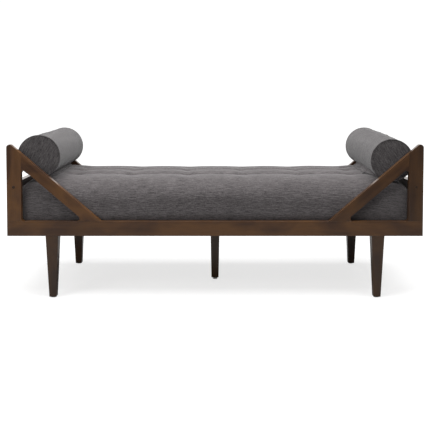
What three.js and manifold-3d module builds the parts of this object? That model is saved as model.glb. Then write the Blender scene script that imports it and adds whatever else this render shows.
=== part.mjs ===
// Daybed: an open timber frame with triangular end braces, a slatted base on tapered legs,
// a tufted mattress and two round bolsters. Millimetres, +Z up, +X along the length to the right,
// +Y to the back. The origin is on the floor, under the middle of the frame.

import * as THREE from 'three';
import { mergeVertices } from 'three/addons/utils/BufferGeometryUtils.js';
import Module from 'manifold-3d';

const wasm = await Module();
wasm.setup();

// ---- Driving dimensions ----

const GAP = 0.3; // left between pieces that touch
const OVERRUN = 1; // how far a cutting tool runs past the face that it cuts

const LENGTH = 1950;
const DEPTH = 710;
const BOARD = 28; // thickness of every frame board
const RAIL_BOTTOM = 296;
const RAIL_HEIGHT = 70;
const POST_WIDTH = 68;
const BRACE_WIDTH = 52;
const BRACE_FOOT = 534; // from the middle to where the brace's upper edge meets the rail
const BRACE_SLOPE = THREE.MathUtils.degToRad(40.6);
const TIP_RADIUS = 15; // rounded top of the post
const OPENING_RADIUS = 12.5; // corners of the triangular openings
const RAIL_END_RADIUS = 3;
const EDGE_ROUND = 2.2; // rounded-over long edges

const END_BAR_TOP = 547;
const END_BAR_HEIGHT = 52;
const END_BAR_INSET = 19; // from the end of the frame to the bar's outer face

const LEG_X = 766;
const LEG_Y = 325;
const LEG_TOP_WIDTH = 60;
const LEG_FOOT_WIDTH = 34;
const CENTRE_LEG_TOP_WIDTH = 48;
const CENTRE_LEG_FOOT_WIDTH = 37;
const LEG_CORNER_RADIUS = 4;
const LEG_FOOT_ROUND = 3;

const BASE_THICKNESS = 24; // cleats, corner blocks and centre beam
const BASE_TOP = 321.7; // where the slats rest
const CLEAT_WIDTH = 25;
const CORNER_BLOCK_LENGTH = 242;
const CORNER_BLOCK_DEPTH = 76;
const BEAM_WIDTH = 60;

const SLAT_COUNT = 10;
const SLAT_WIDTH = 65;
const SLAT_THICKNESS = 17.7;
const SLAT_PITCH = 188;
const SLAT_END_GAP = 1; // from a slat's end to the side frame

const GLIDE_HEIGHT = 4;
const GLIDE_RADIUS = 12;
const GLIDE_PIN_RADIUS = 3;
const GLIDE_PIN_LENGTH = 12;
const FOOT_CHAMFER = 1; // on the lower rims of glides and the screw foot's pad

const LEVELLER_GAP = 9.5; // floor to the wood of the centre leg
const LEVELLER_PAD_HEIGHT = 4;
const LEVELLER_PAD_RADIUS = 13;
const LEVELLER_STEM_RADIUS = 4;
const LEVELLER_STEM_LENGTH = 36;
const LEVELLER_HOLE_DEPTH = 42;
const LEVELLER_PAD_TAPER = 2; // how much narrower the pad's top is than its rim

const LEG_BOLT_RADIUS = 4;
const LEG_BOLT_INSET = 18; // from the rail's inner face to the bolt
const LEG_BOLT_IN_LEG = 45;
const LEG_BOLT_BELOW_TOP = 1; // the bolt ends this far under the top of the base

const POST_BOLT_HEIGHT = 526;
const POST_BOLT_RADIUS = 4;
const POST_BOLT_LENGTH = 52; // shank
const HOLE_SPARE = 2; // depth left past the end of a bolt or pin
const BOLT_HEAD_RADIUS = 6.5;
const BOLT_HEAD_HEIGHT = 5.5;
const PLUG_RADIUS = 7;
const PLUG_THICKNESS = 5;

const MATTRESS_BOTTOM = 340.3;
const MATTRESS_TOP = 577; // top of the crown
const MATTRESS_END_TOP = 537; // top edge at the ends
const MATTRESS_LENGTH = 1822;
const MATTRESS_WIDTH = 650;
const MATTRESS_SHOULDER = 75;
const MATTRESS_END_RADIUS = 18;
const MATTRESS_BOTTOM_RADIUS = 14;
const MATTRESS_CROWN_RUN = 250; // over which the ends rise to the crown

const BOLSTER_RADIUS = 101;
const BOLSTER_LENGTH = 608;
const BOLSTER_X = 832;
const BOLSTER_Z = 669;
const BOLSTER_EDGE_RADIUS = 9;

const ARC_DIVISIONS = 4;
const RIM_DIVISIONS = 3; // round a bolster's rim
const ROUND_SEGMENTS = 16; // around bolts, pads and plugs
const BOLSTER_SEGMENTS = 40;

// ---- Places worked out from them ----

const RAIL_TOP = RAIL_BOTTOM + RAIL_HEIGHT;
const HALF_LENGTH = LENGTH / 2;
const HALF_DEPTH = DEPTH / 2;
const INNER_FACE = HALF_DEPTH - BOARD; // inner face of the side frames
const POST_EDGE = HALF_LENGTH - POST_WIDTH; // inner edge of the posts
const END_BAR_OUTER = HALF_LENGTH - END_BAR_INSET;
const POST_BOLT_X = END_BAR_OUTER - BOARD / 2;
const LOWER_END_INNER = HALF_LENGTH - BOARD;
const BASE_BOTTOM = BASE_TOP - BASE_THICKNESS;

const LEFT = -1;
const RIGHT = 1;
const FRONT = -1;
const REAR = 1;
const CORNERS = [
  { name: 'front_left', x: LEFT, y: FRONT },
  { name: 'front_right', x: RIGHT, y: FRONT },
  { name: 'rear_left', x: LEFT, y: REAR },
  { name: 'rear_right', x: RIGHT, y: REAR },
];

// ---- Materials ----

function material(color, roughness, metalness) {
  return new THREE.MeshStandardMaterial({ color, roughness, metalness });
}

const walnut = material(0x46301f, 0.4, 0);
const paleWood = material(0xb99b6e, 0.7, 0);
const steel = material(0x9a9c9e, 0.35, 1);
const nylon = material(0xd8d6d0, 0.5, 0);
const greyCloth = material(0x5a5657, 0.95, 0);

// ---- Solids ----

function solidFrom(geometry) {
  const bare = geometry.clone();
  bare.deleteAttribute('normal');
  bare.deleteAttribute('uv');
  const merged = mergeVertices(bare);
  const vertProperties = Float32Array.from(merged.attributes.position.array);
  const triVerts = Uint32Array.from(merged.index.array);
  return new wasm.Manifold(new wasm.Mesh({ numProp: 3, vertProperties, triVerts }));
}

function geometryFrom(solid) {
  const mesh = solid.getMesh();
  const geometry = new THREE.BufferGeometry();
  geometry.setAttribute('position', new THREE.BufferAttribute(mesh.vertProperties, 3));
  geometry.setIndex(new THREE.BufferAttribute(mesh.triVerts, 1));
  return geometry;
}

// A block between two opposite corners, given in any order on each axis.
function block(from, to) {
  const size = to.map((value, axis) => Math.abs(value - from[axis]));
  const middle = to.map((value, axis) => (value + from[axis]) / 2);
  return new THREE.BoxGeometry(...size).translate(...middle);
}

// A round bar along Z from z to z + length, about x and y.
function upright(radius, length, x, y, z) {
  const bar = new THREE.CylinderGeometry(radius, radius, length, ROUND_SEGMENTS);
  return bar.rotateX(Math.PI / 2).translate(x, y, z + length / 2);
}

// A round bar along Y between two depths, about x and z.
function crossways(radius, fromY, toY, x, z) {
  const bar = new THREE.CylinderGeometry(radius, radius, Math.abs(toY - fromY), ROUND_SEGMENTS);
  return bar.translate(x, (fromY + toY) / 2, z);
}

function cut(geometry, ...tools) {
  let solid = solidFrom(geometry);
  for (const tool of tools) {
    solid = solid.subtract(solidFrom(tool));
  }
  return geometryFrom(solid);
}

// Draws straight edges through the corners, each corner rounded by its radius.
function drawRounded(outline, corners) {
  corners.forEach(([x, y, radius], index) => {
    const corner = new THREE.Vector2(x, y);
    if (radius === 0) {
      outline.lineTo(x, y);
      return;
    }
    const [beforeX, beforeY] = corners.at(index - 1);
    const [afterX, afterY] = corners[(index + 1) % corners.length];
    const toBefore = new THREE.Vector2(beforeX, beforeY).sub(corner).normalize();
    const toAfter = new THREE.Vector2(afterX, afterY).sub(corner).normalize();
    const halfAngle = Math.acos(toBefore.dot(toAfter)) / 2;
    const inward = toBefore.clone().add(toAfter).normalize();
    const centre = corner.clone().addScaledVector(inward, radius / Math.sin(halfAngle));
    const setback = radius / Math.tan(halfAngle);
    const start = corner.clone().addScaledVector(toBefore, setback).sub(centre).angle();
    const end = corner.clone().addScaledVector(toAfter, setback).sub(centre).angle();
    const clockwise = toBefore.cross(toAfter) > 0;
    outline.absarc(centre.x, centre.y, radius, start, end, clockwise);
  });
  return outline;
}

// ---- Side frames: rail, posts and braces cut from one outline ----

function sideOutline() {
  const rise = (HALF_LENGTH - BRACE_FOOT) * Math.tan(BRACE_SLOPE);
  const outline = drawRounded(new THREE.Shape(), [
    [HALF_LENGTH, RAIL_BOTTOM, RAIL_END_RADIUS],
    [HALF_LENGTH, RAIL_TOP + rise, TIP_RADIUS],
    [BRACE_FOOT, RAIL_TOP, 0],
    [-BRACE_FOOT, RAIL_TOP, 0],
    [-HALF_LENGTH, RAIL_TOP + rise, TIP_RADIUS],
    [-HALF_LENGTH, RAIL_BOTTOM, RAIL_END_RADIUS],
  ]);
  const openingFoot = BRACE_FOOT + BRACE_WIDTH / Math.sin(BRACE_SLOPE);
  const openingTop = RAIL_TOP + (POST_EDGE - openingFoot) * Math.tan(BRACE_SLOPE);
  for (const side of [LEFT, RIGHT]) {
    outline.holes.push(drawRounded(new THREE.Path(), [
      [side * openingFoot, RAIL_TOP, OPENING_RADIUS],
      [side * POST_EDGE, RAIL_TOP, OPENING_RADIUS],
      [side * POST_EDGE, openingTop, OPENING_RADIUS],
    ]));
  }
  return outline;
}

function sideFrame(y) {
  const board = new THREE.ExtrudeGeometry(sideOutline(), {
    depth: BOARD - 2 * EDGE_ROUND,
    curveSegments: ARC_DIVISIONS,
    bevelThickness: EDGE_ROUND,
    bevelSize: EDGE_ROUND,
    bevelOffset: -EDGE_ROUND,
    bevelSegments: 2,
  });
  board.rotateX(Math.PI / 2);
  board.translate(0, y * (HALF_DEPTH - BOARD / 2) + BOARD / 2 - EDGE_ROUND, 0);
  return solidFrom(board);
}

// Everything in the frame between two places along X and two heights.
function region(fromX, toX, fromZ, toZ) {
  return solidFrom(block([fromX, -DEPTH, fromZ], [toX, DEPTH, toZ]));
}

// The rounded corner of the opening at the post's foot, which belongs to the post.
function footCorner(x) {
  const reach = OPENING_RADIUS + OVERRUN;
  return region(x * (POST_EDGE - reach), x * (POST_EDGE + OVERRUN), RAIL_TOP + GAP, RAIL_TOP + reach);
}

function sideRail(y) {
  return geometryFrom(sideFrame(y).intersect(region(-LENGTH, LENGTH, 0, RAIL_TOP)));
}

function post(x, y) {
  const limits = region(x * POST_EDGE, x * LENGTH, RAIL_TOP + GAP, LENGTH).add(footCorner(x));
  const board = geometryFrom(sideFrame(y).intersect(limits));
  const shankHole = POST_BOLT_RADIUS + GAP;
  const headHole = PLUG_RADIUS + GAP;
  const headHoleEnd = postBoltHead() - BOLT_HEAD_HEIGHT - GAP;
  const outside = HALF_DEPTH + OVERRUN;
  return cut(
    board,
    crossways(shankHole, y * (INNER_FACE - OVERRUN), y * outside, x * POST_BOLT_X, POST_BOLT_HEIGHT),
    crossways(headHole, y * headHoleEnd, y * outside, x * POST_BOLT_X, POST_BOLT_HEIGHT),
  );
}

function brace(x, y) {
  const limits = region(0, x * (POST_EDGE - GAP), RAIL_TOP + GAP, LENGTH).subtract(footCorner(x));
  return geometryFrom(sideFrame(y).intersect(limits));
}

// ---- End rails and their bolts ----

function upperEndRail(x) {
  const reach = INNER_FACE - GAP;
  const bar = block(
    [x * (END_BAR_OUTER - BOARD), -reach, END_BAR_TOP - END_BAR_HEIGHT],
    [x * END_BAR_OUTER, reach, END_BAR_TOP],
  );
  const holeEnd = postBoltTip() - HOLE_SPARE;
  const holes = [FRONT, REAR].map((y) => (
    crossways(POST_BOLT_RADIUS + GAP, y * holeEnd, y * HALF_DEPTH, x * POST_BOLT_X, POST_BOLT_HEIGHT)
  ));
  return cut(bar, ...holes);
}

function lowerEndRail(x) {
  const reach = INNER_FACE - GAP;
  return block([x * LOWER_END_INNER, -reach, RAIL_BOTTOM], [x * HALF_LENGTH, reach, RAIL_TOP]);
}

function postBoltHead() {
  return HALF_DEPTH - PLUG_THICKNESS - GAP;
}

function postBoltTip() {
  return postBoltHead() - BOLT_HEAD_HEIGHT - POST_BOLT_LENGTH;
}

// Half the bolt's section, from its tip to the top of its head, turned about its own axis.
function postBolt(x, y) {
  const outline = [
    new THREE.Vector2(0, 0),
    new THREE.Vector2(POST_BOLT_RADIUS, 0),
    new THREE.Vector2(POST_BOLT_RADIUS, POST_BOLT_LENGTH),
    new THREE.Vector2(BOLT_HEAD_RADIUS, POST_BOLT_LENGTH),
    new THREE.Vector2(BOLT_HEAD_RADIUS, POST_BOLT_LENGTH + BOLT_HEAD_HEIGHT),
    new THREE.Vector2(0, POST_BOLT_LENGTH + BOLT_HEAD_HEIGHT),
  ];
  const bolt = new THREE.LatheGeometry(outline, ROUND_SEGMENTS);
  if (y === FRONT) {
    bolt.rotateX(Math.PI);
  }
  return bolt.translate(x * POST_BOLT_X, y * postBoltTip(), POST_BOLT_HEIGHT);
}

function plug(x, y) {
  return crossways(
    PLUG_RADIUS, y * (HALF_DEPTH - PLUG_THICKNESS), y * HALF_DEPTH, x * POST_BOLT_X, POST_BOLT_HEIGHT,
  );
}

// ---- Base: cleats, corner blocks, beam and slats ----

function legBoltY(y) {
  return y * (INNER_FACE - LEG_BOLT_INSET);
}

// The hole for a leg's bolt, right through the base.
function baseBoltHole(x, y) {
  return upright(LEG_BOLT_RADIUS + GAP, BASE_THICKNESS + 2 * OVERRUN, x, y, BASE_BOTTOM - OVERRUN);
}

function cornerBlock(x, y) {
  const end = LOWER_END_INNER - GAP;
  const side = INNER_FACE - GAP;
  const plate = block(
    [x * (end - CORNER_BLOCK_LENGTH), y * (side - CORNER_BLOCK_DEPTH), BASE_BOTTOM],
    [x * end, y * side, BASE_TOP],
  );
  return cut(plate, baseBoltHole(x * LEG_X, legBoltY(y)));
}

function cleat(y) {
  const reach = LOWER_END_INNER - CORNER_BLOCK_LENGTH - 2 * GAP;
  const side = INNER_FACE - GAP;
  return block([-reach, y * (side - CLEAT_WIDTH), BASE_BOTTOM], [reach, y * side, BASE_TOP]);
}

function centreBeam() {
  const reach = LOWER_END_INNER - GAP;
  const beam = block([-reach, -BEAM_WIDTH / 2, BASE_BOTTOM], [reach, BEAM_WIDTH / 2, BASE_TOP]);
  return cut(beam, baseBoltHole(0, 0));
}

function slat() {
  return new THREE.BoxGeometry(SLAT_WIDTH, 2 * (INNER_FACE - SLAT_END_GAP), SLAT_THICKNESS);
}

// ---- Legs, leg bolts, glides and the screw foot ----

// A square leg about the Z axis that narrows evenly from its top to its foot.
function taperedLeg(topWidth, footWidth, footZ, topZ) {
  const half = topWidth / 2;
  const section = drawRounded(new THREE.Shape(), [
    [half, -half, LEG_CORNER_RADIUS],
    [half, half, LEG_CORNER_RADIUS],
    [-half, half, LEG_CORNER_RADIUS],
    [-half, -half, LEG_CORNER_RADIUS],
  ]);
  const height = topZ - footZ;
  const stock = new THREE.ExtrudeGeometry(section, {
    depth: height,
    curveSegments: 2,
    bevelThickness: LEG_FOOT_ROUND,
    bevelSize: LEG_FOOT_ROUND,
    bevelOffset: -LEG_FOOT_ROUND,
    bevelSegments: 3,
  });
  const places = stock.attributes.position;
  for (let index = 0; index < places.count; index += 1) {
    const z = places.getZ(index);
    const width = THREE.MathUtils.lerp(footWidth, topWidth, z / height) / topWidth;
    places.setXYZ(index, places.getX(index) * width, places.getY(index) * width, z);
  }
  stock.translate(0, 0, footZ + LEG_FOOT_ROUND);
  const limits = block([-topWidth, -topWidth, 0], [topWidth, topWidth, topZ]);
  return geometryFrom(solidFrom(stock).intersect(solidFrom(limits)));
}

function legBoltHole(legTop, y) {
  const depth = LEG_BOLT_IN_LEG + HOLE_SPARE;
  return upright(LEG_BOLT_RADIUS + GAP, depth + OVERRUN, 0, y, legTop - depth);
}

// The hole for a glide's pin or the screw foot's stem, up from the leg's foot.
function footHole(radius, depth, footZ) {
  return upright(radius + GAP, depth + OVERRUN, 0, 0, footZ - OVERRUN);
}

function cornerLeg(y) {
  const top = RAIL_BOTTOM - GAP;
  const leg = taperedLeg(LEG_TOP_WIDTH, LEG_FOOT_WIDTH, GLIDE_HEIGHT, top);
  return cut(
    leg,
    legBoltHole(top, legBoltY(y) - y * LEG_Y),
    footHole(GLIDE_PIN_RADIUS, GLIDE_PIN_LENGTH + HOLE_SPARE, GLIDE_HEIGHT),
  );
}

function centreLeg() {
  const top = BASE_BOTTOM - GAP;
  const leg = taperedLeg(CENTRE_LEG_TOP_WIDTH, CENTRE_LEG_FOOT_WIDTH, LEVELLER_GAP, top);
  return cut(
    leg,
    legBoltHole(top, 0),
    footHole(LEVELLER_STEM_RADIUS, LEVELLER_HOLE_DEPTH, LEVELLER_GAP),
  );
}

function legBolt(legTop, x, y) {
  const start = legTop - LEG_BOLT_IN_LEG;
  return upright(LEG_BOLT_RADIUS, BASE_TOP - LEG_BOLT_BELOW_TOP - start, x, y, start);
}

function glide() {
  const outline = [
    new THREE.Vector2(0, 0),
    new THREE.Vector2(GLIDE_RADIUS - FOOT_CHAMFER, 0),
    new THREE.Vector2(GLIDE_RADIUS, FOOT_CHAMFER),
    new THREE.Vector2(GLIDE_RADIUS, GLIDE_HEIGHT - GAP),
    new THREE.Vector2(GLIDE_PIN_RADIUS, GLIDE_HEIGHT - GAP),
    new THREE.Vector2(GLIDE_PIN_RADIUS, GLIDE_HEIGHT + GLIDE_PIN_LENGTH),
    new THREE.Vector2(0, GLIDE_HEIGHT + GLIDE_PIN_LENGTH),
  ];
  return new THREE.LatheGeometry(outline, ROUND_SEGMENTS).rotateX(Math.PI / 2);
}

function levellerPad() {
  const outline = [
    new THREE.Vector2(0, 0),
    new THREE.Vector2(LEVELLER_PAD_RADIUS - FOOT_CHAMFER, 0),
    new THREE.Vector2(LEVELLER_PAD_RADIUS, FOOT_CHAMFER),
    new THREE.Vector2(LEVELLER_PAD_RADIUS - LEVELLER_PAD_TAPER, LEVELLER_PAD_HEIGHT),
    new THREE.Vector2(0, LEVELLER_PAD_HEIGHT),
  ];
  return new THREE.LatheGeometry(outline, ROUND_SEGMENTS).rotateX(Math.PI / 2);
}

function levellerStem() {
  return upright(LEVELLER_STEM_RADIUS, LEVELLER_STEM_LENGTH, 0, 0, LEVELLER_PAD_HEIGHT + GAP);
}

// ---- Soft pieces, as plain closed solids ----

// Seen from the front: upright ends, and a top that rises from the ends to a level crown.
function mattressLengthProfile() {
  const half = MATTRESS_LENGTH / 2;
  const crown = half - MATTRESS_END_RADIUS - MATTRESS_CROWN_RUN;
  const middle = crown + MATTRESS_CROWN_RUN / 2;
  const endTop = MATTRESS_END_TOP;
  const shape = new THREE.Shape();
  shape.moveTo(-half, MATTRESS_BOTTOM);
  shape.lineTo(half, MATTRESS_BOTTOM);
  shape.lineTo(half, endTop - MATTRESS_END_RADIUS);
  shape.quadraticCurveTo(half, endTop, half - MATTRESS_END_RADIUS, endTop);
  shape.bezierCurveTo(middle, MATTRESS_TOP, middle, MATTRESS_TOP, crown, MATTRESS_TOP);
  shape.lineTo(-crown, MATTRESS_TOP);
  shape.bezierCurveTo(-middle, MATTRESS_TOP, -middle, MATTRESS_TOP, MATTRESS_END_RADIUS - half, endTop);
  shape.quadraticCurveTo(-half, endTop, -half, endTop - MATTRESS_END_RADIUS);
  return shape;
}

// Seen from the end: upright sides under wide soft shoulders.
function mattressWidthProfile() {
  const half = MATTRESS_WIDTH / 2;
  const shape = new THREE.Shape();
  return drawRounded(shape, [
    [half, MATTRESS_BOTTOM, MATTRESS_BOTTOM_RADIUS],
    [half, MATTRESS_TOP, MATTRESS_SHOULDER],
    [-half, MATTRESS_TOP, MATTRESS_SHOULDER],
    [-half, MATTRESS_BOTTOM, MATTRESS_BOTTOM_RADIUS],
  ]);
}

function mattress() {
  const options = { bevelEnabled: false, curveSegments: ARC_DIVISIONS };
  const lengthways = new THREE.ExtrudeGeometry(mattressLengthProfile(), { ...options, depth: DEPTH });
  lengthways.rotateX(Math.PI / 2).translate(0, HALF_DEPTH, 0);
  const widthways = new THREE.ExtrudeGeometry(mattressWidthProfile(), { ...options, depth: LENGTH });
  widthways.rotateX(Math.PI / 2).rotateZ(Math.PI / 2).translate(-HALF_LENGTH, 0, 0);
  return geometryFrom(solidFrom(lengthways).intersect(solidFrom(widthways)));
}

// A cylinder along Y with its sharp rims taken off.
function bolster() {
  const half = BOLSTER_LENGTH / 2;
  const outline = [new THREE.Vector2(0, -half)];
  for (const end of [FRONT, REAR]) {
    for (let step = 0; step <= RIM_DIVISIONS; step += 1) {
      const turned = end === FRONT ? step : RIM_DIVISIONS - step;
      const angle = (turned / RIM_DIVISIONS) * (Math.PI / 2);
      const radius = BOLSTER_RADIUS - BOLSTER_EDGE_RADIUS * (1 - Math.sin(angle));
      outline.push(new THREE.Vector2(radius, end * (half - BOLSTER_EDGE_RADIUS * (1 - Math.cos(angle)))));
    }
  }
  outline.push(new THREE.Vector2(0, half));
  return new THREE.LatheGeometry(outline, BOLSTER_SEGMENTS);
}

// ---- Assembly ----

const daybed = new THREE.Group();

function add(name, geometry, finish, x = 0, y = 0, z = 0) {
  const mesh = new THREE.Mesh(geometry, finish.clone());
  mesh.name = name;
  mesh.position.set(x, y, z);
  daybed.add(mesh);
}

add('front_rail', sideRail(FRONT), walnut);
add('rear_rail', sideRail(REAR), walnut);
add('front_cleat', cleat(FRONT), paleWood);
add('rear_cleat', cleat(REAR), paleWood);
add('centre_beam', centreBeam(), paleWood);

for (const [name, x] of [['left', LEFT], ['right', RIGHT]]) {
  add(`upper_end_rail_${name}`, upperEndRail(x), walnut);
  add(`lower_end_rail_${name}`, lowerEndRail(x), walnut);
  add(`bolster_${name}`, bolster(), greyCloth, x * BOLSTER_X, 0, BOLSTER_Z);
}

for (const { name, x, y } of CORNERS) {
  add(`post_${name}`, post(x, y), walnut);
  add(`brace_${name}`, brace(x, y), walnut);
  add(`post_bolt_${name}`, postBolt(x, y), steel);
  add(`plug_${name}`, plug(x, y), walnut);
  add(`corner_block_${name}`, cornerBlock(x, y), paleWood);
  add(`leg_${name}`, cornerLeg(y), walnut, x * LEG_X, y * LEG_Y);
  add(`leg_bolt_${name}`, legBolt(RAIL_BOTTOM - GAP, x * LEG_X, legBoltY(y)), steel);
  add(`glide_${name}`, glide(), nylon, x * LEG_X, y * LEG_Y);
}

add('centre_leg', centreLeg(), walnut);
add('centre_leg_bolt', legBolt(BASE_BOTTOM - GAP, 0, 0), steel);
add('leveller_pad', levellerPad(), nylon);
add('leveller_stem', levellerStem(), steel);

for (let index = 0; index < SLAT_COUNT; index += 1) {
  const x = (index - (SLAT_COUNT - 1) / 2) * SLAT_PITCH;
  add(`slat_${index + 1}`, slat(), paleWood, x, 0, BASE_TOP + GAP + SLAT_THICKNESS / 2);
}

add('mattress', mattress(), greyCloth);

export default daybed;
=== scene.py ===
import math

import bmesh
import bpy
import numpy as np
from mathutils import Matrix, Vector, noise
from mathutils.bvhtree import BVHTree


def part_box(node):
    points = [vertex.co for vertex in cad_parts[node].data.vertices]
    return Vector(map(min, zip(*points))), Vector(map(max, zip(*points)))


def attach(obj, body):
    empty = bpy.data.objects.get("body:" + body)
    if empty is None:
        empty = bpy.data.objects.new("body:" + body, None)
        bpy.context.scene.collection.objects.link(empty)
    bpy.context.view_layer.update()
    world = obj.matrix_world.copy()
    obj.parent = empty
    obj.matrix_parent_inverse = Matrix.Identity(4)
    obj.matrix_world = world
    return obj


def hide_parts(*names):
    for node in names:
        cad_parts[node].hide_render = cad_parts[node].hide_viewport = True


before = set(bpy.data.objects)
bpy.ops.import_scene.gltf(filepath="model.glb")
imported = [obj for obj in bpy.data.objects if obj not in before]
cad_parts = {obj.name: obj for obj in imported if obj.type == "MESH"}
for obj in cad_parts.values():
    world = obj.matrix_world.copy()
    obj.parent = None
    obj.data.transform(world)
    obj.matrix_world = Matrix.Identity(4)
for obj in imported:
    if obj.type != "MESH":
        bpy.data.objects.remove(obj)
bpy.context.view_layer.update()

# Daybed: walnut-stained frame with triangular ends, tufted mattress and two round bolsters.
# Metres, +X along the length to the right, +Y to the back, +Z up.

LEFT = -1
RIGHT = 1
AXIS_X, AXIS_Y, AXIS_Z = 0, 1, 2
SIDES = {"left": LEFT, "right": RIGHT}

# ---- Places from the frame ----

MATTRESS_LOW, MATTRESS_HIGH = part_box("mattress")
BOLSTER_LOW, BOLSTER_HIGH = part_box("bolster_right")

# ---- Mattress ----

SEAM_X = MATTRESS_HIGH.x  # end seams
SIDE_Y = MATTRESS_HIGH.y - 0.007  # the front before the cloth is blown up
MATTRESS_BASE = MATTRESS_LOW.z + 0.001
END_TOP = {LEFT: 0.523, RIGHT: 0.512}  # top edge at the ends
CROWN_TOP = 0.574  # highest line of the top, between the tufts
CROWN_RUN = 0.16  # over which the ends rise to the crown
CROWN_PEAK_Y = -0.03
CROWN_FALL = 0.22  # how fast the crown falls to the front and the back
LEVEL_RUN = 0.20  # in from the ends, where the back half stays more level under a bolster
LEVEL_START = 0.4  # share of that run at which the fall begins to grow
LEVEL_LEAST = 0.35  # share of the fall that is left under a bolster
SHOULDER_WIDTH = 0.090  # of the rounded edge between the top and the sides
SHOULDER_DROP = 0.064
END_CORNER = 0.038  # the shoulder's width and drop at the end seams
SHOULDER_RUN = 0.26  # over which the shoulder widens from the ends
BOTTOM_ROUND = 0.020
END_BULGE = 0.008
END_BULGE_POWER = 21  # keeps the bulge to the ends
SIDE_FADE_POWER = 6  # and away from the front and the back
TUFT_COLUMNS = (-0.669, -0.411, -0.135, 0.135, 0.411, 0.669)
TUFT_ROWS = (-0.14, 0.0, 0.14)
TUFT_DEPTH = 0.044
TUFT_REACH = 0.021
TUFT_STRETCH = 1.15  # how much shorter a tuft's pit is across than along
TIE_RADIUS = 0.0038
TIE_FLATNESS = 0.6
ROW_VALLEY = 0.021  # depth of the furrow along a row of tufts
COLUMN_VALLEY = 0.005
VALLEY_REACH = 0.019
VALLEY_FADE = 0.11  # over which a valley dies out past the last tuft
WELT_RADIUS = 0.0025
BED_FOR_BOLSTER = 0.003  # clearance that the mattress leaves under a bolster
PRESSED_WITHIN = 0.018  # nearer to a bolster than this, the top doesn't swell
CUTS_ALONG = 72
CUTS_OVER = 55
CUTS_UP = 15
MATTRESS_RUFFLE = {"height": 0.0011, "scale": 9.0}

# ---- Bolsters ----

BOLSTER_CENTRE = (BOLSTER_LOW + BOLSTER_HIGH) / 2
BOLSTER_RADIUS = (BOLSTER_HIGH.x - BOLSTER_LOW.x) / 2 - 0.001
BOLSTER_HALF = (BOLSTER_HIGH.y - BOLSTER_LOW.y) / 2 - 0.004
BOLSTER_SIDES = 96
BOLSTER_RINGS = 42
CAP_INSETS = 7
END_WEAVE = 1.2  # how much finer the weave is on the round ends
BODY_WEAVE = 0.6  # and how much broader its streaks are round the body
END_TILT = {LEFT: math.radians(62), RIGHT: math.radians(-58)}  # of the threads on the round ends
BOLSTER_WELT_RADIUS = 0.0018
BOLSTER_RUFFLE = {"height": 0.0016, "scale": 8.0}
RESTING_BELOW = 0.93  # share of the radius under the middle, past which the cover rests
RESTING_SQUASH = 0.025
LIP_HALF = 0.285
LIP_CUTS_ALONG = 90
LIP_CUTS_ACROSS = 10
LIP_THICKNESS = 0.0022
LIP_CLEAR = 0.0025
LIP_SEWN_IN = 0.0016  # how far inside the bolster the lip starts
LIP_NIP = math.radians(70)  # where the lip leaves the bolster at its ends, below the horizontal
LIP_LEAVES = {LEFT: math.radians(56), RIGHT: math.radians(34)}  # and where it leaves in its middle
LIP_LEAST = 0.004
LIP_REACH = {LEFT: 0.022, RIGHT: 0.026}
LIP_WAVE = {LEFT: 0.003, RIGHT: 0.008}
LIP_CURL = {LEFT: 0.004, RIGHT: 0.006}
LIP_BEND = 0.15  # where the lip turns from hanging to lying, as a share of its reach
LIP_WAVES = 9  # to the metre
LIP_FORWARD = 0.25  # how much fuller the lip is towards the front
FRONT_DROP = {LEFT: 0.003, RIGHT: 0.023}  # how far each end of a bolster has sunk
REAR_DROP = {LEFT: 0.003, RIGHT: 0.003}
FRONT_SLIP = {LEFT: 0.0035, RIGHT: 0.008}  # and how far it has moved outwards
REAR_SLIP = {LEFT: 0.0045, RIGHT: -0.003}
SINK_POWER = 1.6  # how far the sinking keeps to the front

# ---- Colours ----

WALNUT_DARK = (0.035, 0.0134, 0.0045)
WALNUT_LIGHT = (0.064, 0.0262, 0.0088)
WALNUT_WARM = (0.100, 0.0420, 0.0105)
WALNUT_PORE = (0.018, 0.009, 0.006)
DARK_THREAD = (0.017, 0.014, 0.0155)
LIGHT_THREAD = (0.142, 0.130, 0.131)
BOLSTER_DARK_THREAD = (0.007, 0.0057, 0.0063)
BOLSTER_LIGHT_THREAD = (0.109, 0.100, 0.101)
# Tie colours: the knots are real, but their near-black colour is painted shade in the tuft pits.
TIE_SHADED_DARK_THREAD = (0.006, 0.005, 0.005)
TIE_SHADED_LIGHT_THREAD = (0.03, 0.027, 0.027)
BARE_WOOD_LIGHT = (0.50, 0.36, 0.20)
BARE_WOOD_DARK = (0.38, 0.25, 0.13)
BARE_WOOD_MARK = (0.30, 0.19, 0.10)
ZINC_DARK = (0.50, 0.51, 0.53)
ZINC_LIGHT = (0.62, 0.63, 0.64)
NYLON_DARK = (0.60, 0.59, 0.56)
NYLON_LIGHT = (0.72, 0.71, 0.68)
FLOOR_GREY = (0.32, 0.32, 0.32, 1)
WHITE = (1, 1, 1, 1)

# ---- Grain and weave: how often each feature repeats to the metre, along and across ----

SLUB_SCALE = (22, 210, 1)
THREAD_SCALE = (70, 380, 1)
HEATHER_SCALE = (190, 210, 1)
PATCH_SCALE = (7, 16, 1)
STREAK_SCALE = (2.2, 55, 55)
PORE_SCALE = (22, 900, 900)
MOTTLE_SCALE = (5.0, 11, 11)
THREAD_PITCH = 0.0015  # this one is a length, from thread to thread

# ---- Frame: how grain is turned, and how wide each kind of piece's edges are softened ----

UPRIGHT = (0, math.radians(-90), 0)
ALONG = (0, 0, 0)
CROSSWAYS = (0, 0, math.radians(90))
BRACE_SLOPE = math.radians(40.6)
HARDWARE_EDGE = 0.0003
BOARD_EDGE = 0.0005
LEG_EDGE = 0.0006
BEARER_EDGE = 0.0010
SLAT_EDGE = 0.0012
END_RAIL_EDGE = 0.0016

# ---- Camera ----

CAMERA_PLACE = (0.0, -3.73, 1.006)
CAMERA_TILT = math.radians(87.5)
CAMERA_LENS = 60.75
CAMERA_SHIFT = -0.2296

# ---- Floor: how bright it is seen, near the daybed and far from it ----

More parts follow.
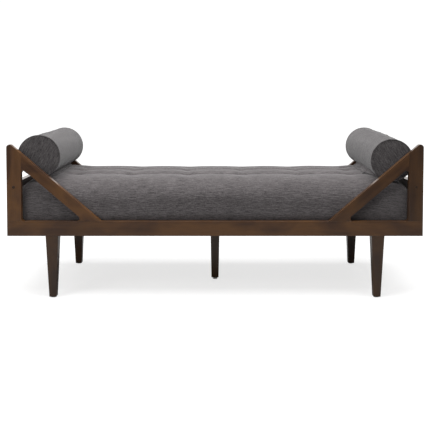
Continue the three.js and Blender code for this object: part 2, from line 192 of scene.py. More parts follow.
NEAR_DISTANCE = 1.5
FAR_DISTANCE = 3.2
NEAR_GLOW = 0.71
FAR_GLOW = 1.0

# ---- Lamps: place, target, size and power in watts ----

LAMPS = {
    "overhead": ((0, -0.5, 3.2), (0, 0.1, 0.4), (5.0, 3.0), 240),
    "left_front": ((-2.9, -2.8, 2.5), (0, 0, 0.4), (2.0, 1.6), 56),
    "right_front": ((2.9, -2.8, 2.5), (0, 0, 0.4), (1.6, 1.6), 4),
    "rear_glow": ((0, 4.6, 1.3), (0, 0, 0.5), (7.0, 2.2), 60),
}
ROOM_LIGHT = 0.25
BACKDROP_LIGHT = 1.05

# ---- Small helpers ----


def start_clean():
    """Nothing selected, and no object in edit mode."""
    if bpy.context.object and bpy.context.object.mode != "OBJECT":
        bpy.ops.object.mode_set(mode="OBJECT")
    bpy.ops.object.select_all(action="DESELECT")


def make_active(piece):
    start_clean()
    piece.select_set(True)
    bpy.context.view_layer.objects.active = piece


def settle(piece, name):
    """Names a new piece and puts its place in its mesh."""
    make_active(piece)
    bpy.ops.object.transform_apply(location=True, rotation=True, scale=True)
    piece.name = name
    piece.data.name = name
    return piece


def cut_across(piece, axis, cuts):
    """Slices a piece evenly across one axis, by cutting every edge that runs along it."""
    make_active(piece)
    bpy.ops.object.mode_set(mode="EDIT")
    bpy.ops.mesh.select_mode(type="EDGE")
    bpy.ops.mesh.select_all(action="DESELECT")
    mesh = bmesh.from_edit_mesh(piece.data)
    for edge in mesh.edges:
        run = edge.verts[1].co - edge.verts[0].co
        edge.select = abs(run[axis]) > 0.999 * run.length
    bmesh.update_edit_mesh(piece.data)
    bpy.ops.mesh.subdivide(number_cuts=cuts)
    bpy.ops.object.mode_set(mode="OBJECT")


def points_of(piece):
    places = np.empty(len(piece.data.vertices) * 3)
    piece.data.vertices.foreach_get("co", places)
    return places.reshape(-1, 3)


def move_points(piece, places):
    piece.data.vertices.foreach_set("co", np.asarray(places, np.float32).ravel())
    piece.data.update()


def smoothstep(value):
    value = np.clip(value, 0, 1)
    return value * value * (3 - 2 * value)


def write_weave_map(piece, unroll):
    """Lays the weave on a piece: unroll gives (along, across) in metres for a face normal and a point."""
    layer = piece.data.uv_layers.new(name="weave")
    vertices = piece.data.vertices
    for face in piece.data.polygons:
        for corner in face.loop_indices:
            place = vertices[piece.data.loops[corner].vertex_index].co
            layer.data[corner].uv = unroll(face.normal, place)


def inflate(piece, held, pressure, cap, frames=18):
    """Blows a padded piece up as cloth. The held vertices stay, and no point moves further than cap."""
    make_active(piece)
    before = points_of(piece)
    group = piece.vertex_groups.new(name="held")
    group.add([int(index) for index in held], 1.0, "REPLACE")
    cloth = piece.modifiers.new("Cloth", "CLOTH")
    cloth.settings.quality = 6
    cloth.settings.mass = 0.4
    cloth.settings.tension_stiffness = 20
    cloth.settings.compression_stiffness = 20
    cloth.settings.shear_stiffness = 8
    cloth.settings.bending_stiffness = 2
    cloth.settings.use_pressure = True
    cloth.settings.uniform_pressure_force = pressure
    cloth.settings.vertex_group_mass = "held"
    cloth.settings.effector_weights.gravity = 0
    cloth.point_cache.frame_start = 1
    cloth.point_cache.frame_end = frames
    scene = bpy.context.scene
    for step in range(1, frames + 1):
        scene.frame_set(step)
    bpy.ops.object.modifier_apply(modifier="Cloth")
    scene.frame_set(1)
    moved = points_of(piece) - before
    length = np.linalg.norm(moved, axis=1, keepdims=True)
    move_points(piece, before + moved * np.minimum(1, cap / np.maximum(length, 1e-9)))
    piece.vertex_groups.clear()


def subdivide_smooth(piece, levels=1):
    make_active(piece)
    smoother = piece.modifiers.new("Smooth", "SUBSURF")
    smoother.levels = levels
    smoother.render_levels = levels
    smoother.uv_smooth = "NONE"
    bpy.ops.object.modifier_apply(modifier="Smooth")
    bpy.ops.object.shade_smooth()


def tube(name, route, radius, closed):
    """A round bead of cloth along a route of points."""
    curve = bpy.data.curves.new(name, "CURVE")
    curve.dimensions = "3D"
    curve.bevel_depth = radius
    curve.bevel_resolution = 3
    curve.use_fill_caps = not closed
    spline = curve.splines.new("POLY")
    spline.points.add(len(route) - 1)
    for point, place in zip(spline.points, route):
        point.co = (*place, 1)
    spline.use_cyclic_u = closed
    piece = bpy.data.objects.new(name, curve)
    bpy.context.scene.collection.objects.link(piece)
    make_active(piece)
    bpy.ops.object.convert(target="MESH")
    piece = bpy.context.object
    bpy.ops.object.shade_smooth()
    return settle(piece, name)


# ---- Node groups ----


def new_group(name, inputs, outputs):
    group = bpy.data.node_groups.new(name, "ShaderNodeTree")
    for label, kind, default in inputs:
        socket = group.interface.new_socket(name=label, in_out="INPUT", socket_type=kind)
        if default is not None:
            socket.default_value = default
    for label, kind in outputs:
        group.interface.new_socket(name=label, in_out="OUTPUT", socket_type=kind)
    return group, group.nodes.new("NodeGroupInput"), group.nodes.new("NodeGroupOutput")


def math_node(tree, operation, first, second=None):
    node = tree.nodes.new("ShaderNodeMath")
    node.operation = operation
    for socket, value in zip(node.inputs, (first, second)):
        if value is None:
            continue
        if isinstance(value, (int, float)):
            socket.default_value = value
        else:
            tree.links.new(value, socket)
    return node.outputs[0]


def stretched_noise(tree, vector, stretch, detail=3.0, distortion=0.0):
    """Noise whose features repeat stretch times to the metre on each axis."""
    scaled = tree.nodes.new("ShaderNodeVectorMath")
    scaled.operation = "MULTIPLY"
    scaled.inputs[1].default_value = stretch
    tree.links.new(vector, scaled.inputs[0])
    texture = tree.nodes.new("ShaderNodeTexNoise")
    texture.inputs["Scale"].default_value = 1.0
    texture.inputs["Detail"].default_value = detail
    texture.inputs["Distortion"].default_value = distortion
    tree.links.new(scaled.outputs[0], texture.inputs["Vector"])
    return texture.outputs["Fac"]


def remap(tree, value, low, high, new_low, new_high):
    node = tree.nodes.new("ShaderNodeMapRange")
    node.inputs["From Min"].default_value = low
    node.inputs["From Max"].default_value = high
    node.inputs["To Min"].default_value = new_low
    node.inputs["To Max"].default_value = new_high
    tree.links.new(value, node.inputs["Value"])
    return node.outputs["Result"]


def mix_colour(tree, factor, first, second):
    node = tree.nodes.new("ShaderNodeMix")
    node.data_type = "RGBA"
    tree.links.new(factor, node.inputs["Factor"])
    for socket, value in zip((node.inputs["A"], node.inputs["B"]), (first, second)):
        if isinstance(value, tuple):
            socket.default_value = (*value, 1)
        else:
            tree.links.new(value, socket)
    return node.outputs["Result"]


def build_slub_weave():
    """Plain weave with slubs: thick and thin threads that run along the first axis of Vector, in metres."""
    group, source, result = new_group(
        "slub_weave",
        [("Vector", "NodeSocketVector", None), ("Thread Pitch", "NodeSocketFloat", THREAD_PITCH)],
        [("Shade", "NodeSocketFloat"), ("Height", "NodeSocketFloat")],
    )
    vector = source.outputs["Vector"]
    slubs = remap(group, stretched_noise(group, vector, SLUB_SCALE, 2.0, 0.2), 0.36, 0.64, 0, 1)
    threads = remap(group, stretched_noise(group, vector, THREAD_SCALE, 2.0), 0.36, 0.64, 0, 1)
    heather = remap(group, stretched_noise(group, vector, HEATHER_SCALE, 2.0), 0.36, 0.64, 0, 1)
    patches = remap(group, stretched_noise(group, vector, PATCH_SCALE, 2.0), 0.32, 0.68, 0, 1)
    split = group.nodes.new("ShaderNodeSeparateXYZ")
    group.links.new(vector, split.inputs[0])
    waves = []
    for along in ("X", "Y"):
        turns = math_node(group, "DIVIDE", split.outputs[along], source.outputs["Thread Pitch"])
        waves.append(math_node(group, "SINE", math_node(group, "MULTIPLY", turns, math.pi)))
    weave = math_node(group, "MULTIPLY", waves[0], waves[1])
    shade = math_node(group, "MULTIPLY", slubs, 0.36)
    for part, share in ((threads, 0.32), (heather, 0.26), (patches, 0.06), (weave, 0.05)):
        shade = math_node(group, "ADD", shade, math_node(group, "MULTIPLY", part, share))
    group.links.new(shade, result.inputs["Shade"])
    height = math_node(group, "MULTIPLY", weave, 0.3)
    for part, share in ((slubs, 0.6), (threads, 0.5), (heather, 0.4)):
        height = math_node(group, "ADD", height, math_node(group, "MULTIPLY", part, share))
    group.links.new(height, result.inputs["Height"])
    return group


def build_timber_grain():
    """Grain that runs along the first axis of Vector, in metres."""
    group, source, result = new_group(
        "timber_grain",
        [("Vector", "NodeSocketVector", None)],
        [("Streaks", "NodeSocketFloat"), ("Pores", "NodeSocketFloat"), ("Mottle", "NodeSocketFloat")],
    )
    vector = source.outputs["Vector"]
    streaks = stretched_noise(group, vector, STREAK_SCALE, 5.0, 0.6)
    pores = stretched_noise(group, vector, PORE_SCALE, 2.0)
    mottle = stretched_noise(group, vector, MOTTLE_SCALE, 2.0, 0.4)
    group.links.new(remap(group, streaks, 0.3, 0.7, 0, 1), result.inputs["Streaks"])
    group.links.new(remap(group, pores, 0.52, 0.72, 0, 1), result.inputs["Pores"])
    group.links.new(remap(group, mottle, 0.38, 0.62, 0, 1), result.inputs["Mottle"])
    return group


SLUB_WEAVE = build_slub_weave()
TIMBER_GRAIN = build_timber_grain()

# ---- Materials ----


def new_material(name):
    material = bpy.data.materials.new(name)
    material.use_nodes = True
    tree = material.node_tree
    return material, tree, tree.nodes["Principled BSDF"]


def add_bump(tree, shader, height, strength, distance):
    bump = tree.nodes.new("ShaderNodeBump")
    bump.inputs["Strength"].default_value = strength
    bump.inputs["Distance"].default_value = distance
    tree.links.new(height, bump.inputs["Height"])
    tree.links.new(bump.outputs["Normal"], shader.inputs["Normal"])


def object_place(tree, turn=(0, 0, 0), centre=(0, 0, 0)):
    """Object coordinates, moved to a centre and turned."""
    coordinates = tree.nodes.new("ShaderNodeTexCoord")
    mapping = tree.nodes.new("ShaderNodeMapping")
    mapping.vector_type = "TEXTURE"
    mapping.inputs["Location"].default_value = centre
    mapping.inputs["Rotation"].default_value = turn
    tree.links.new(coordinates.outputs["Object"], mapping.inputs["Vector"])
    return mapping.outputs["Vector"]


def walnut(name, turn, centre=(0, 0, 0), tone=1.0):
    """Walnut stain under satin lacquer, grain along the turned X axis. A lower tone is a darker colour: a
    darker stain on most pieces, and painted shade on the right posts and braces.
    """

    def toned(colour):
        return tuple(tone * part for part in colour)

    material, tree, shader = new_material(name)
    grain = tree.nodes.new("ShaderNodeGroup")
    grain.node_tree = TIMBER_GRAIN
    tree.links.new(object_place(tree, turn, centre), grain.inputs["Vector"])
    stain = mix_colour(tree, grain.outputs["Streaks"], toned(WALNUT_DARK), toned(WALNUT_LIGHT))
    warm_share = math_node(tree, "MULTIPLY", grain.outputs["Mottle"], 0.85)
    warm = mix_colour(tree, warm_share, stain, toned(WALNUT_WARM))
    dark_pores = math_node(tree, "MULTIPLY", grain.outputs["Pores"], 0.35)
    tree.links.new(mix_colour(tree, dark_pores, warm, toned(WALNUT_PORE)), shader.inputs["Base Color"])
    tree.links.new(remap(tree, grain.outputs["Streaks"], 0, 1, 0.34, 0.44), shader.inputs["Roughness"])
    height = math_node(tree, "SUBTRACT", grain.outputs["Streaks"], grain.outputs["Pores"])
    add_bump(tree, shader, height, 0.12, 0.0004)
    shader.inputs["Specular IOR Level"].default_value = 0.35
    shader.inputs["Coat Weight"].default_value = 0.35
    shader.inputs["Coat Roughness"].default_value = 0.16
    return material


def pale_wood(name, turn):
    material, tree, shader = new_material(name)
    grain = tree.nodes.new("ShaderNodeGroup")
    grain.node_tree = TIMBER_GRAIN
    tree.links.new(object_place(tree, turn), grain.inputs["Vector"])
    board = mix_colour(tree, grain.outputs["Streaks"], BARE_WOOD_LIGHT, BARE_WOOD_DARK)
    marks = math_node(tree, "MULTIPLY", grain.outputs["Mottle"], 0.3)
    marked = mix_colour(tree, marks, board, BARE_WOOD_MARK)
    tree.links.new(marked, shader.inputs["Base Color"])
    tree.links.new(remap(tree, grain.outputs["Pores"], 0, 1, 0.6, 0.75), shader.inputs["Roughness"])
    add_bump(tree, shader, grain.outputs["Streaks"], 0.2, 0.0006)
    return material


def grey_cloth(name, place_source, dark, light, spread=0.5):
    """Charcoal linen-look cloth. place_source(tree) gives the weave's coordinates.

    Less spread is more contrast."""
    material, tree, shader = new_material(name)
    weave = tree.nodes.new("ShaderNodeGroup")
    weave.node_tree = SLUB_WEAVE
    weave.inputs["Thread Pitch"].default_value = THREAD_PITCH
    tree.links.new(place_source(tree), weave.inputs["Vector"])
    shade = remap(tree, weave.outputs["Shade"], 0.5 - spread, 0.5 + spread, 0, 1)
    tree.links.new(mix_colour(tree, shade, dark, light), shader.inputs["Base Color"])
    tree.links.new(remap(tree, weave.outputs["Shade"], 0, 1, 0.98, 0.86), shader.inputs["Roughness"])
    add_bump(tree, shader, weave.outputs["Height"], 0.5, 0.0007)
    shader.inputs["Sheen Weight"].default_value = 0.25
    shader.inputs["Sheen Roughness"].default_value = 0.45
    shader.inputs["Specular IOR Level"].default_value = 0.2
    return material


def weave_map(tree):
    node = tree.nodes.new("ShaderNodeUVMap")
    node.uv_map = "weave"
    return node.outputs["UV"]


def zinc():
    material, tree, shader = new_material("zinc_plate")
    cloud = stretched_noise(tree, object_place(tree), (160, 160, 160), 3.0)
    plate = mix_colour(tree, cloud, ZINC_DARK, ZINC_LIGHT)
    tree.links.new(plate, shader.inputs["Base Color"])
    tree.links.new(remap(tree, cloud, 0.3, 0.7, 0.28, 0.42), shader.inputs["Roughness"])
    shader.inputs["Metallic"].default_value = 1.0
    add_bump(tree, shader, cloud, 0.1, 0.0003)
    return material


def nylon():
    material, tree, shader = new_material("pale_nylon")
    cloud = stretched_noise(tree, object_place(tree), (400, 400, 400), 2.0)
    shell = mix_colour(tree, cloud, NYLON_DARK, NYLON_LIGHT)
    tree.links.new(shell, shader.inputs["Base Color"])
    tree.links.new(remap(tree, cloud, 0.3, 0.7, 0.42, 0.55), shader.inputs["Roughness"])
    add_bump(tree, shader, cloud, 0.15, 0.0002)
    return material


# ---- Frame: finishes and softened edges on the CAD pieces ----


def soften(piece, width):
    """Merges a CAD piece's loose triangles and takes the sharpness off its edges."""
    if "custom_normal" in piece.data.attributes:
        piece.data.attributes.remove(piece.data.attributes["custom_normal"])
    piece.data.shade_smooth()
    weld = piece.modifiers.new("Weld", "WELD")
    weld.merge_threshold = 0.00002
    flatten = piece.modifiers.new("Join flats", "DECIMATE")
    flatten.decimate_type = "DISSOLVE"
    flatten.angle_limit = math.radians(1)
    bevel = piece.modifiers.new("Edges", "BEVEL")
    bevel.width = width
    bevel.segments = 2
    bevel.limit_method = "ANGLE"
    bevel.angle_limit = math.radians(40)
    shading = piece.modifiers.new("Shading", "WEIGHTED_NORMAL")
    shading.keep_sharp = False


def dress_frame():
    """Gives every piece of the frame its finish. The cushions get covers of their own."""
    rails = walnut("walnut_rails", ALONG, tone=0.92)
    # The right posts' lower tone is painted shade: the right end looks darker only because less light falls
    # there.
    posts = {
        "left": walnut("walnut_posts_left", UPRIGHT, (0, 0, 0.31)),
        "right": walnut("walnut_posts_right_painted_shade", UPRIGHT, (0, 0, 0.11), tone=0.58),
    }
    plugs = walnut("walnut_plugs", CROSSWAYS, tone=0.35)
    ends = walnut("walnut_end_rails", CROSSWAYS, (0.17, 0, 0), tone=0.9)
    legs = walnut("walnut_legs", UPRIGHT, (0.05, 0.3, 0), tone=0.52)
    # The right braces' lower tone is painted shade too, for the same dimmer light at the right end.
    braces = {
        "left": walnut("walnut_braces_left", (0, BRACE_SLOPE, 0)),
        "right": walnut("walnut_braces_right_painted_shade", (0, -BRACE_SLOPE, 0), tone=0.78),
    }
    slats = pale_wood("pale_slats", CROSSWAYS)
    bearers = pale_wood("pale_bearers", ALONG)
    steel = zinc()
    feet = nylon()
    for name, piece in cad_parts.items():
        if name == "mattress" or name.startswith("bolster"):
            continue
        if "bolt" in name or name == "leveller_stem":
            finish, width = steel, HARDWARE_EDGE
        elif name.startswith("glide") or name == "leveller_pad":
            finish, width = feet, HARDWARE_EDGE
        elif name.startswith("slat"):
            finish, width = slats, SLAT_EDGE
        elif name.endswith("cleat") or name.startswith("corner_block") or name == "centre_beam":
            finish, width = bearers, BEARER_EDGE
        elif name.startswith("plug"):
            finish, width = plugs, HARDWARE_EDGE
        elif name.startswith("post"):
            finish, width = posts[name.split("_")[-1]], BOARD_EDGE
        elif name.startswith("brace"):
            finish, width = braces[name.split("_")[-1]], BOARD_EDGE
        elif name.endswith(("end_rail_left", "end_rail_right")):
            finish, width = ends, END_RAIL_EDGE
        elif "leg" in name:
            finish, width = legs, LEG_EDGE
        else:
            finish, width = rails, BOARD_EDGE
        piece.data.materials.clear()
        piece.data.materials.append(finish)
        soften(piece, width)


# ---- Mattress ----


def tuft_places():
    for x in TUFT_COLUMNS:
        for y in TUFT_ROWS:
            yield x, y


def crown_height(x, y):
    """Height of the mattress's top before it is tufted."""
    inward = np.clip((SEAM_X - np.abs(x)) / CROWN_RUN, 0, 1)
    rise = np.sqrt(1 - (1 - inward) ** 2)
    growth = smoothstep((SEAM_X - np.abs(x)) / LEVEL_RUN - LEVEL_START)
    level = np.where(y > CROWN_PEAK_Y, LEVEL_LEAST + (1 - LEVEL_LEAST) * growth, 1)
    fall = CROWN_FALL * (y - CROWN_PEAK_Y) ** 2 * rise * level
    end_top = np.where(x < 0, END_TOP[LEFT], END_TOP[RIGHT])
    return end_top + (CROWN_TOP - end_top) * rise - fall


def tuft_pull(x, y):
    """How far the tufting draws the top down: a pit at each tuft, and valleys along the rows and columns."""
    pull = np.zeros_like(x)
    for tuft_x, tuft_y in tuft_places():
        distance = np.hypot(x - tuft_x, (y - tuft_y) * TUFT_STRETCH)
        pull += TUFT_DEPTH / (1 + (distance / TUFT_REACH) ** 2) ** 1.5
    row_span = smoothstep((TUFT_COLUMNS[-1] + VALLEY_FADE - np.abs(x)) / VALLEY_FADE)
    column_span = smoothstep((TUFT_ROWS[-1] + VALLEY_FADE - np.abs(y)) / VALLEY_FADE)
    for row_y in TUFT_ROWS:
        pull += ROW_VALLEY * row_span * np.exp(-(((y - row_y) / VALLEY_REACH) ** 2))
    for column_x in TUFT_COLUMNS:
        pull += COLUMN_VALLEY * column_span * np.exp(-(((x - column_x) / VALLEY_REACH) ** 2))
    return pull


def shape_section(places):
    """Turns the box's section into upright sides with wide shoulders, a crowned top and tufts."""
    x, y, z = places.T.copy()
    box_top = z.max()
    share = (z - MATTRESS_BASE) / (box_top - MATTRESS_BASE)
    top = crown_height(x, y)
    z = MATTRESS_BASE + share * (top - MATTRESS_BASE)
    across = np.sqrt(np.maximum(0, 1 - (y / SIDE_Y) ** SIDE_FADE_POWER))
    x = x + END_BULGE * (x / SEAM_X) ** END_BULGE_POWER * np.sin(math.pi * share) * across
    side = np.sign(y)
    reach = np.abs(y)
    growth = smoothstep((SEAM_X - np.abs(x)) / SHOULDER_RUN)
    shoulder = END_CORNER + (SHOULDER_WIDTH - END_CORNER) * growth
    shoulder_drop = END_CORNER + (SHOULDER_DROP - END_CORNER) * growth
    for width, drop, corner_z, direction in (
        (shoulder, shoulder_drop, top - shoulder_drop, 1),
        (BOTTOM_ROUND, BOTTOM_ROUND, MATTRESS_BASE + BOTTOM_ROUND, -1),
    ):
        out = (reach - (SIDE_Y - width)) / width
        up = direction * (z - corner_z) / drop
        rounded = (out > 0) & (up > 0)
        length = np.hypot(out, up)
        length[~rounded] = 1
        reach = np.where(rounded, SIDE_Y - width + width * out / length, reach)
        z = np.where(rounded, corner_z + direction * drop * up / length, z)
    lifted = smoothstep((z - (top - shoulder_drop)) / shoulder_drop)
    z = z - tuft_pull(x, side * reach) * lifted
    z = np.minimum(z, bolster_underside(x, y) - BED_FOR_BOLSTER)
    return np.column_stack([x, side * reach, z])


def bolster_shift(side, y):
    """How far outwards and down a bolster's middle has moved, at a place along it."""
    front = np.clip((BOLSTER_HALF - y) / (2 * BOLSTER_HALF), 0, 1)
    slip = REAR_SLIP[side] + (FRONT_SLIP[side] - REAR_SLIP[side]) * front
    drop = REAR_DROP[side] + (FRONT_DROP[side] - REAR_DROP[side]) * front**SINK_POWER
    return slip, drop


def bolster_underside(x, y):
    """Height of the lower surface of the bolsters over the mattress, and far above it beside them."""
    lowest = np.full_like(x, 10.0)
    for side in (LEFT, RIGHT):
        slip, drop = bolster_shift(side, y)
        out = (x * side - BOLSTER_CENTRE.x - slip) / BOLSTER_RADIUS
        inside = np.abs(out) < 1
        depth = BOLSTER_RADIUS * np.sqrt(np.maximum(0, 1 - out**2))
        under = BOLSTER_CENTRE.z - drop - depth
        lowest = np.where(inside, np.minimum(lowest, under), lowest)
    return lowest


def make_mattress():
    start_clean()
    low = Vector((-SEAM_X, -SIDE_Y, MATTRESS_BASE))
    high = Vector((SEAM_X, SIDE_Y, CROWN_TOP))
    bpy.ops.mesh.primitive_cube_add(size=1, location=(low + high) / 2)
    piece = bpy.context.object
    piece.scale = high - low
    settle(piece, "mattress_cover")
    cut_across(piece, AXIS_X, CUTS_ALONG)
    cut_across(piece, AXIS_X, 1)
    cut_across(piece, AXIS_Y, CUTS_OVER)
    cut_across(piece, AXIS_Z, CUTS_UP)
    box_height = high.z - low.z

    def unroll(normal, place):
        if abs(normal.x) > 0.9:
            return place.y, place.z
        if abs(normal.y) > 0.9:
            outside = place.z - low.z
            return place.x, outside if normal.y < 0 else 2 * box_height + 2 * SIDE_Y - outside
        return place.x, box_height + place.y + SIDE_Y

    write_weave_map(piece, unroll)
    box_places = points_of(piece)
    on_end = np.abs(box_places[:, 0]) > SEAM_X - 1e-5
    on_skin = (
        (np.abs(box_places[:, 1]) > SIDE_Y - 1e-5)
        | (box_places[:, 2] > CROWN_TOP - 1e-5)
        | (box_places[:, 2] < MATTRESS_BASE + 1e-5)
    )
    seam = on_end & on_skin
    move_points(piece, shape_section(box_places))
    shaped = points_of(piece)
    on_tuft = np.zeros(len(shaped), bool)
    on_top = box_places[:, 2] > CROWN_TOP - 1e-5
    for tuft_x, tuft_y in tuft_places():
        distance = np.hypot(shaped[:, 0] - tuft_x, shaped[:, 1] - tuft_y)
        distance[~on_top] = 1
        on_tuft[np.argsort(distance)[:4]] = True
    on_base = box_places[:, 2] < MATTRESS_BASE + 1e-5
    headroom = bolster_underside(shaped[:, 0], shaped[:, 1]) - shaped[:, 2]
    pressed = on_top & (headroom < PRESSED_WITHIN)
    inflate(piece, np.flatnonzero(seam | on_tuft | on_base | pressed), pressure=4.0, cap=0.008)
    crease_seams(piece, seam)
    loops = {side: seam_route(points_of(piece), seam, side) for side in (LEFT, RIGHT)}
    subdivide_smooth(piece)
    ruffle(piece, **MATTRESS_RUFFLE)
    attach(piece, "mattress")
    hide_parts("mattress")
    return piece, loops


def crease_seams(piece, seam):
    """Keeps the edges between two seam points sharp when the piece is subdivided."""
    crease = piece.data.attributes.new("crease_edge", "FLOAT", "EDGE")
    for edge in piece.data.edges:
        first, second = edge.vertices
        if seam[first] and seam[second]:
            crease.data[edge.index].value = 1.0


def seam_route(places, seam, side):
    """The seam's points at one end of the mattress, in order round the section."""
    chosen = places[seam & (np.sign(places[:, 0]) == side)]
    middle = chosen.mean(axis=0)
    angle = np.arctan2(chosen[:, 2] - middle[2], chosen[:, 1] - middle[1])
    return chosen[np.argsort(angle)]


def ruffle(piece, height, scale):
    """Slight unevenness of stuffed cloth, along the normals."""
    places = points_of(piece)
    normals = np.array([vertex.normal for vertex in piece.data.vertices])
    bumps = np.array([noise.noise(Vector(place) * scale) for place in places])
    move_points(piece, places + normals * (bumps * height)[:, None])


def make_welts(loops, material):
    for name, side in SIDES.items():
        route = loops[side] + np.array([side * 0.001, 0, 0])
        welt = tube(f"mattress_welt_{name}", route, WELT_RADIUS, True)
        welt.data.materials.append(material)
        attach(welt, "mattress")


def make_ties(cover, material):
    """The knotted thread at the bottom of each tuft. Its near-black colour is painted shade in the pit."""
    surface = BVHTree.FromObject(cover, bpy.context.evaluated_depsgraph_get())
    start_clean()
    bpy.ops.mesh.primitive_uv_sphere_add(segments=16, ring_count=10, radius=TIE_RADIUS)
    knot = bpy.context.object
    knot.scale = (1, 1, TIE_FLATNESS)
    settle(knot, "mattress_tie")
    bpy.ops.object.shade_smooth()
    knot.data.materials.append(material)
    shape = points_of(knot)
    for index, (x, y) in enumerate(tuft_places(), 1):
        tie = knot.copy()
        tie.data = knot.data.copy()
        tie.name = f"mattress_tie_{index}"
        bpy.context.scene.collection.objects.link(tie)
        bottom = surface.ray_cast(Vector((x, y, 1)), Vector((0, 0, -1)))[0]
        move_points(tie, shape + np.array(bottom))
        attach(tie, "mattress")
    bpy.data.objects.remove(knot)


# ---- Bolsters ----


def make_bolster(name, side, material, trim):
    centre = Vector((side * BOLSTER_CENTRE.x, BOLSTER_CENTRE.y, BOLSTER_CENTRE.z))
    start_clean()
    bpy.ops.mesh.primitive_cylinder_add(
        vertices=BOLSTER_SIDES, radius=BOLSTER_RADIUS, depth=2 * BOLSTER_HALF, location=centre,
        rotation=(math.radians(90), 0, 0),
    )
    piece = settle(bpy.context.object, f"bolster_cover_{name}")
    cut_across(piece, AXIS_Y, BOLSTER_RINGS)
    inset_caps(piece)

    def unroll(normal, place):
        if abs(normal.y) > 0.7:
            tilt = END_TILT[side]
            x = place.x - centre.x
            z = place.z - centre.z
            along = x * math.cos(tilt) + z * math.sin(tilt)
            over = z * math.cos(tilt) - x * math.sin(tilt)
            return END_WEAVE * along, END_WEAVE * over
        middle = math.atan2(normal.z, normal.x * side)
        angle = math.atan2(place.z - centre.z, (place.x - centre.x) * side)
        angle += 2 * math.pi * round((middle - angle) / (2 * math.pi))
        return angle * BOLSTER_RADIUS, BODY_WEAVE * place.y

    write_weave_map(piece, unroll)
    flat = points_of(piece)
    radial = np.hypot(flat[:, 0] - centre.x, flat[:, 2] - centre.z)
    seam = (np.abs(flat[:, 1]) > BOLSTER_HALF - 1e-5) & (radial > BOLSTER_RADIUS - 1e-4)
    move_points(piece, sag_bolster(flat, centre, side))
    resting = flat[:, 2] < centre.z - RESTING_BELOW * BOLSTER_RADIUS
    inflate(piece, np.flatnonzero(seam | resting), pressure=2.0, cap=0.007)
    crease_seams(piece, seam)
    loops = {end: end_route(points_of(piece), seam, end, centre) for end in (-1, 1)}
    subdivide_smooth(piece)
    ruffle(piece, **BOLSTER_RUFFLE)
    piece.data.materials.append(material)
    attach(piece, f"bolster_{name}")
    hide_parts(f"bolster_{name}")
    for label, end in (("front", -1), ("rear", 1)):
        welt = tube(f"bolster_welt_{name}_{label}", loops[end], BOLSTER_WELT_RADIUS, True)
        welt.data.materials.append(trim)
        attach(welt, f"bolster_{name}")
    return piece


def make_lip(name, side, bolster_cover, mattress_cover, material):
    """The loose fold of a bolster's cover, which hangs from its inner side and lies on the mattress."""
    bodies = bpy.context.evaluated_depsgraph_get()
    round_surface = BVHTree.FromObject(bolster_cover, bodies)
    top_surface = BVHTree.FromObject(mattress_cover, bodies)
    start_clean()
    bpy.ops.mesh.primitive_grid_add(x_subdivisions=LIP_CUTS_ACROSS, y_subdivisions=LIP_CUTS_ALONG, size=2)
    piece = settle(bpy.context.object, f"bolster_lip_{name}")
    rows = points_of(piece).reshape(LIP_CUTS_ALONG + 1, LIP_CUTS_ACROSS + 1, 3)
    across = (rows[0, :, 0] + 1) / 2
    for row in rows:
        row[:] = lip_section(row[0, 1], across, side, round_surface, top_surface)
    move_points(piece, rows.reshape(-1, 3))
    make_active(piece)
    thickness = piece.modifiers.new("Thickness", "SOLIDIFY")
    thickness.thickness = LIP_THICKNESS
    thickness.offset = 0
    bpy.ops.object.modifier_apply(modifier="Thickness")
    bpy.ops.object.mode_set(mode="EDIT")
    bpy.ops.mesh.select_all(action="SELECT")
    bpy.ops.mesh.normals_make_consistent(inside=False)
    bpy.ops.object.mode_set(mode="OBJECT")
    bpy.ops.object.shade_smooth()
    piece.data.materials.append(material)
    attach(piece, f"bolster_{name}")
    return piece


def lip_section(share, across, side, round_surface, top_surface):
    """One line of the lip, from the bolster down to the mattress. share runs from -1 at the front to 1."""
    y = share * LIP_HALF
    swell = (1 - share**4) * (1 - LIP_FORWARD * share) / (1 + LIP_FORWARD)
    wave = noise.noise(Vector((y * LIP_WAVES, side * 3, 0)))
    slip, drop = bolster_shift(side, y)
    middle = Vector((side * (BOLSTER_CENTRE.x + slip), y, BOLSTER_CENTRE.z - drop))
    angle = LIP_NIP + (LIP_LEAVES[side] - LIP_NIP) * swell
    outwards = Vector((-side * math.cos(angle), 0, -math.sin(angle)))
    start = round_surface.ray_cast(middle, outwards)[0] - outwards * LIP_SEWN_IN
    end_x = start.x - side * (LIP_LEAST + LIP_REACH[side] * swell + LIP_WAVE[side] * wave * swell)
    lowest = top_surface.ray_cast(Vector((end_x, y, 1)), Vector((0, 0, -1)))[0].z + LIP_CLEAR
    bend_x = start.x - side * LIP_BEND * LIP_REACH[side]
    end_z = lowest + LIP_CURL[side] * (0.5 + wave) * swell
    x = (1 - across) ** 2 * start.x + 2 * across * (1 - across) * bend_x + across**2 * end_x
    z = (1 - across) ** 2 * start.z + 2 * across * (1 - across) * lowest + across**2 * end_z
    return np.column_stack([x, np.full_like(x, y), z])


def inset_caps(piece):
    """Rings of faces on both round ends, closed by a fan in the middle."""
    make_active(piece)
    bpy.ops.object.mode_set(mode="EDIT")
    bpy.ops.mesh.select_mode(type="FACE")
    bpy.ops.mesh.select_all(action="DESELECT")
    mesh = bmesh.from_edit_mesh(piece.data)
    for face in mesh.faces:
        face.select = abs(face.normal.y) > 0.9
    bmesh.update_edit_mesh(piece.data)
    for _ in range(CAP_INSETS):
        bpy.ops.mesh.inset(thickness=BOLSTER_RADIUS / (CAP_INSETS + 1), use_individual=True)
    bpy.ops.mesh.poke()
    bpy.ops.object.mode_set(mode="OBJECT")


def sag_bolster(flat, centre, side):
    """The bolster's own weight: flatter where it rests, and sunk where the mattress gives."""
    places = flat.copy()
    x = (places[:, 0] - centre.x) * side
    z = places[:, 2] - centre.z
    low = smoothstep(-z / BOLSTER_RADIUS)
    slip, drop = bolster_shift(side, places[:, 1])
    places[:, 0] = centre.x + side * (x + slip)
    places[:, 2] = centre.z + z * (1 - RESTING_SQUASH * low) - drop
    return places


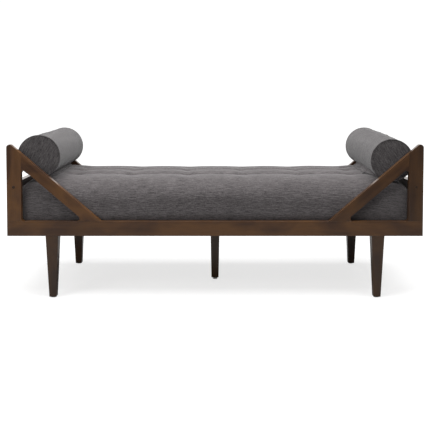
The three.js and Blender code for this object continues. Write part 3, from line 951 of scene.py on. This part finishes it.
def end_route(places, seam, end, centre):
    chosen = places[seam & (np.sign(places[:, 1]) == end)]
    angle = np.arctan2(chosen[:, 2] - centre.z, chosen[:, 0] - centre.x)
    return chosen[np.argsort(angle)]


# ---- Stage ----


def make_stage():
    start_clean()
    bpy.ops.mesh.primitive_plane_add(size=30, location=(0, 4, 0))
    floor = settle(bpy.context.object, "floor")
    material, tree, shader = new_material("pale_floor")
    shader.inputs["Base Color"].default_value = FLOOR_GREY
    shader.inputs["Emission Color"].default_value = WHITE
    seen = tree.nodes.new("ShaderNodeLightPath")
    distance = tree.nodes.new("ShaderNodeVectorMath")
    distance.operation = "LENGTH"
    tree.links.new(object_place(tree), distance.inputs[0])
    glow = remap(tree, distance.outputs["Value"], NEAR_DISTANCE, FAR_DISTANCE, NEAR_GLOW, FAR_GLOW)
    shown = math_node(tree, "MULTIPLY", seen.outputs["Is Camera Ray"], glow)
    tree.links.new(shown, shader.inputs["Emission Strength"])
    shader.inputs["Roughness"].default_value = 0.9
    shader.inputs["Specular IOR Level"].default_value = 0.0
    floor.data.materials.append(material)


def add_softbox(name, place, target, size, power):
    light = bpy.data.lights.new(name, "AREA")
    light.shape = "RECTANGLE"
    light.size, light.size_y = size
    light.energy = power
    lamp = bpy.data.objects.new(name, light)
    lamp.location = place
    lamp.rotation_euler = (Vector(target) - Vector(place)).to_track_quat("-Z", "Y").to_euler()
    lamp.visible_camera = False
    bpy.context.scene.collection.objects.link(lamp)


def make_lights():
    for name, (place, target, size, power) in LAMPS.items():
        add_softbox(name, place, target, size, power)
    world = bpy.data.worlds.new("room")
    world.use_nodes = True
    tree = world.node_tree
    room = tree.nodes["Background"]
    room.inputs["Color"].default_value = WHITE
    room.inputs["Strength"].default_value = ROOM_LIGHT
    backdrop = tree.nodes.new("ShaderNodeBackground")
    backdrop.inputs["Color"].default_value = WHITE
    backdrop.inputs["Strength"].default_value = BACKDROP_LIGHT
    seen = tree.nodes.new("ShaderNodeLightPath")
    choice = tree.nodes.new("ShaderNodeMixShader")
    tree.links.new(seen.outputs["Is Camera Ray"], choice.inputs["Fac"])
    tree.links.new(room.outputs["Background"], choice.inputs[1])
    tree.links.new(backdrop.outputs["Background"], choice.inputs[2])
    tree.links.new(choice.outputs["Shader"], tree.nodes["World Output"].inputs["Surface"])
    bpy.context.scene.world = world


def make_camera():
    camera = bpy.data.cameras.new("camera")
    camera.sensor_width = 36
    camera.lens = CAMERA_LENS
    camera.shift_y = CAMERA_SHIFT
    camera.clip_end = 60
    holder = bpy.data.objects.new("camera", camera)
    holder.location = CAMERA_PLACE
    holder.rotation_euler = (CAMERA_TILT, 0, 0)
    bpy.context.scene.collection.objects.link(holder)
    bpy.context.scene.camera = holder


make_camera()
make_lights()
make_stage()
dress_frame()

cloth = grey_cloth("grey_cloth", weave_map, DARK_THREAD, LIGHT_THREAD)
trim_cloth = grey_cloth("grey_cloth_trim", object_place, DARK_THREAD, LIGHT_THREAD)
bolster_cloth = grey_cloth("bolster_cloth", weave_map, BOLSTER_DARK_THREAD, BOLSTER_LIGHT_THREAD, spread=0.42)
# The ties' near-black cloth is painted shade at the bottom of the tuft pits.
tie_thread_pit_shade = grey_cloth("tie_thread_pit_shade", object_place, TIE_SHADED_DARK_THREAD, TIE_SHADED_LIGHT_THREAD)

mattress, end_loops = make_mattress()
mattress.data.materials.append(cloth)
make_welts(end_loops, trim_cloth)
make_ties(mattress, tie_thread_pit_shade)
for side_name, side_sign in SIDES.items():
    bolster = make_bolster(side_name, side_sign, bolster_cloth, trim_cloth)
    make_lip(side_name, side_sign, bolster, mattress, trim_cloth)

bpy.context.scene.view_settings.view_transform = "Standard"
